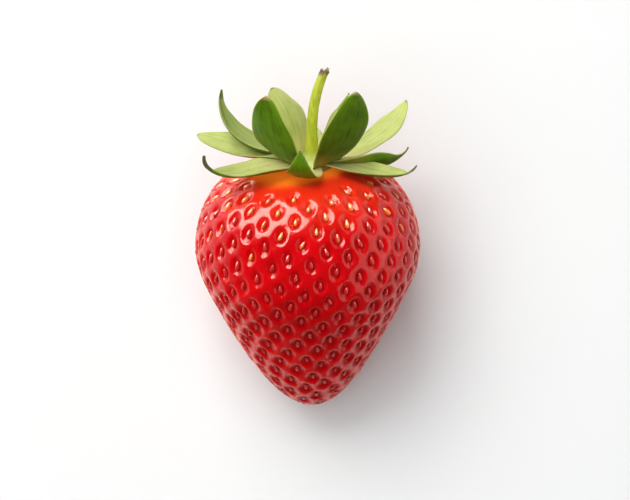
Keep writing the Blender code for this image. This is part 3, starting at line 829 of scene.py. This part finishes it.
def leaf_paint():
    """A sepal: dark glossy green on the fruit's side, pale and matt on the stem's side, with
    lighter veins and foot, a dry brown or pink tip, and painted shade on the pale side along
    its margins and over one half of some sepals."""
    paint = Paint("sepal_green", Subsurface_Weight=0.6, Subsurface_Scale=0.5 * MM,
                  Subsurface_Radius=(0.8, 1.0, 0.3), Specular_IOR_Level=0.15)
    dark = paint.attribute("dark")
    along = paint.attribute("along")
    across = paint.attribute("across")
    vein = paint.attribute("vein")
    mottle = paint.noise(0.5, 4.0)
    fine = paint.noise(3.0, 3.0)
    blade = paint.node("CombineXYZ", {}, {"X": across * 6.0, "Y": along * 1.6,
                                          "Z": paint.attribute("lot") * 5.0})
    streaks = paint.node("TexNoise", {}, {"Vector": blade, "Scale": 1.0, "Detail": 3.0})
    out = across.math("ABSOLUTE")
    foot = 1.0 - (along - paint.attribute("foot")).between(-0.12, 0.10)
    glossy = paint.mix(mottle.between(0.25, 0.8), (0.044, 0.112, 0.001), (0.096, 0.212, 0.002))
    glossy = paint.mix(streaks.between(0.35, 0.7) * 0.45, glossy, (0.135, 0.260, 0.004))
    glossy = paint.mix(out.between(0.3, 1.0) * along.between(0.2, 0.8) * 0.5, glossy,
                      (0.150, 0.270, 0.006))
    glossy = paint.mix(vein * 0.35, glossy, (0.18, 0.29, 0.02))
    glossy = paint.mix((1.0 - along.between(0.15, 0.6)) * 0.5, glossy, (0.040, 0.070, 0.001))
    glossy = paint.mix(foot * 0.8, glossy, (0.28, 0.27, 0.04))
    glossy = paint.mix(out.between(0.93, 1.0) * 0.7, glossy, (0.50, 0.50, 0.15))
    matt = paint.mix(mottle.between(0.3, 0.7), (0.34, 0.40, 0.08), (0.45, 0.49, 0.13))
    matt = paint.mix(streaks.between(0.4, 0.7) * 0.6, matt, (0.50, 0.54, 0.22))
    matt = paint.mix((1.0 - streaks).between(0.55, 0.75) * 0.5, matt, (0.24, 0.33, 0.05))
    matt = paint.mix(vein * 0.35, matt, (0.55, 0.60, 0.28))
    # painted shade along the margins of the pale side
    matt = paint.mix(out.between(0.92, 1.0) * 0.6, matt, (0.15, 0.22, 0.04))
    matt = paint.mix((1.0 - along.between(0.08, 0.42)) * 0.7, matt, (0.66, 0.60, 0.25))
    # painted shade: one half of the pale side is darker
    painted_half_shade = paint.attribute("painted_half_shade") * (1.0 - across.between(-0.12, 0.12))
    matt = paint.mix(painted_half_shade, matt, (0.17, 0.25, 0.08))
    both = paint.mix(dark.between(0.3, 0.7), matt, glossy)
    tip = (along - paint.attribute("tip") + (fine - 0.5) * 0.04).between(0.0, 0.04)
    dry = paint.mix(paint.attribute("pink"), (0.11, 0.10, 0.045), (0.58, 0.36, 0.20))
    colour = paint.mix(tip * 0.8, both, dry)
    height = fine * 0.5 + mottle * 0.5
    return paint.feed(Base_Color=colour, Roughness=0.62 - dark * 0.20 + (fine - 0.5) * 0.15,
                      Coat_Weight=dark * 0.08, Normal=paint.bump(height, 0.05, 0.5))


def disc_paint():
    """The disc: yellow-green, paler towards the stem, with painted shade, a dark brownish green,
    where it meets the fruit.
    """
    paint = Paint("calyx_disc_green", Subsurface_Weight=0.1, Subsurface_Scale=0.4 * MM)
    lift = paint.attribute("lift")
    fine = paint.noise(2.0, 3.0)
    # painted shade: dark brownish green low on the disc, where it meets the fruit
    colour = paint.mix(lift.between(0.2, 0.9), (0.22, 0.20, 0.03), (0.48, 0.55, 0.16))
    return paint.feed(Base_Color=colour, Roughness=0.5 + (fine - 0.5) * 0.2,
                      Normal=paint.bump(fine, 0.05, 0.5))


def stem_paint():
    """The stem: yellow-green with long faint streaks, paler at its foot, brown at the dry end."""
    paint = Paint("stem_green", Subsurface_Weight=0.4, Subsurface_Scale=0.5 * MM,
                  Subsurface_Radius=(0.8, 1.0, 0.2), Specular_IOR_Level=0.25)
    along = paint.attribute("along")
    streaks = paint.noise(1.6, 3.0, stretch=(1.0, 0.12, 1.0))
    fine = paint.noise(4.0, 3.0)
    green = paint.mix(streaks.between(0.3, 0.7), (0.36, 0.43, 0.022), (0.52, 0.56, 0.05))
    green = paint.mix(1.0 - along.between(0.0, 0.12), green, (0.58, 0.66, 0.24))
    dry = (along + (streaks - 0.5) * 0.06).between(0.925, 0.975)
    colour = paint.mix(dry, green, paint.mix(fine, (0.06, 0.03, 0.015), (0.26, 0.16, 0.09)))
    return paint.feed(Base_Color=colour, Roughness=0.42 + dry * 0.35 + (fine - 0.5) * 0.15,
                      Normal=paint.bump(streaks, 0.05, 0.5))


def floor_paint():
    """The plain pale surface that the fruit lies on."""
    paint = Paint("pale_floor", Roughness=0.75)
    grain = paint.noise(0.02, 2.0)
    pale = paint.mix(grain, (0.79, 0.805, 0.807), (0.815, 0.83, 0.832))
    return paint.feed(Base_Color=pale)


# ---------------------------------------------------------------- the setting

def level_sheet(name, right, ahead, height, material):
    """A level rectangle between two places to the right and two ahead, part of the setting."""
    corners = np.array([(right[0], ahead[0], height), (right[1], ahead[0], height),
                        (right[1], ahead[1], height), (right[0], ahead[1], height)])
    mesh = bpy.data.meshes.new(name)
    mesh.from_pydata(corners * MM, [], [(0, 1, 2, 3)])
    mesh.materials.append(material)
    made = bpy.data.objects.new(name, mesh)
    bpy.context.scene.collection.objects.link(made)
    return made


def floor():
    """A wide pale floor just under the fruit."""
    span = (-FLOOR_HALF, FLOOR_HALF)
    level_sheet("floor", span, span, FLOOR_HEIGHT, floor_paint())


def dark_card():
    """A dark card on the floor ahead of the tip, there for the gloss alone to mirror."""
    paint = Paint("card_grey", Roughness=1.0, Base_Color=(0.04, 0.04, 0.04, 1.0))
    card = level_sheet("dark_card", (-FLOOR_HALF, FLOOR_HALF), (-FLOOR_HALF, CARD_EDGE),
                       CARD_HEIGHT, paint.material)
    card.visible_camera = False
    card.visible_diffuse = False
    card.visible_shadow = False


def area_light(name, place, size, watts, seen_in_gloss, lights_matt, colour):
    """A soft rectangular lamp that faces the fruit."""
    lamp = bpy.data.lights.new(name, "AREA")
    lamp.shape = "RECTANGLE"
    lamp.size, lamp.size_y = size
    lamp.energy = watts
    lamp.color = colour
    made = bpy.data.objects.new(name, lamp)
    made.location = place
    towards = Vector(LAMPS_AIM) - Vector(place)
    made.rotation_euler = towards.to_track_quat("-Z", "Y").to_euler()
    made.visible_glossy = seen_in_gloss
    made.visible_diffuse = lights_matt
    bpy.context.scene.collection.objects.link(made)


def surroundings():
    """The room: light from low down at the sides and behind, dim overhead, where the camera
    is, and ahead."""
    room = bpy.data.worlds.new("studio")
    room.use_nodes = True
    graph = Graph(room.node_tree)
    towards = graph.node("TexCoord", output="Generated")
    back = graph.node("SeparateXYZ", {}, {"Vector": towards}, output="Y")
    height = graph.node("SeparateXYZ", {}, {"Vector": towards}, output="Z")
    glow = (1.0 - height.between(*LOW_LIGHT)) * back.between(*FRONT_FADE)
    shade = room.node_tree.nodes["Background"]
    shade.inputs["Color"].default_value = (*WHITE, 1.0)
    graph.plug(shade.inputs["Strength"], glow * (ROOM_LIGHT - ROOM_DIM) + ROOM_DIM)
    bpy.context.scene.world = room


def studio():
    """The room, two lamps that only the gloss mirrors, two that only light matt colours, and
    a camera that looks straight down."""
    surroundings()
    for lamp in LAMPS:
        area_light(*lamp)
    camera = bpy.data.cameras.new("camera")
    camera.lens = 100.0
    camera.sensor_width = 36.0
    camera.clip_start = 0.01
    made = bpy.data.objects.new("camera", camera)
    made.location = CAMERA_PLACE
    bpy.context.scene.collection.objects.link(made)
    bpy.context.scene.camera = made
    bpy.context.scene.view_settings.view_transform = "Standard"
    bpy.context.scene.view_settings.look = "None"


# ---------------------------------------------------------------- all of it

skin()
achenes()
calyx_base = world(np.array((LENGTH + GAP + DISC_HEIGHT / 2, CALYX_SHIFT, 0.0)))
leaf = leaf_paint()
for number, sepal_row in enumerate(SEPALS, start=1):
    sepal(number, sepal_row, calyx_base, leaf)
calyx_disc(disc_paint())
stem(stem_paint())
floor()
dark_card()
studio()
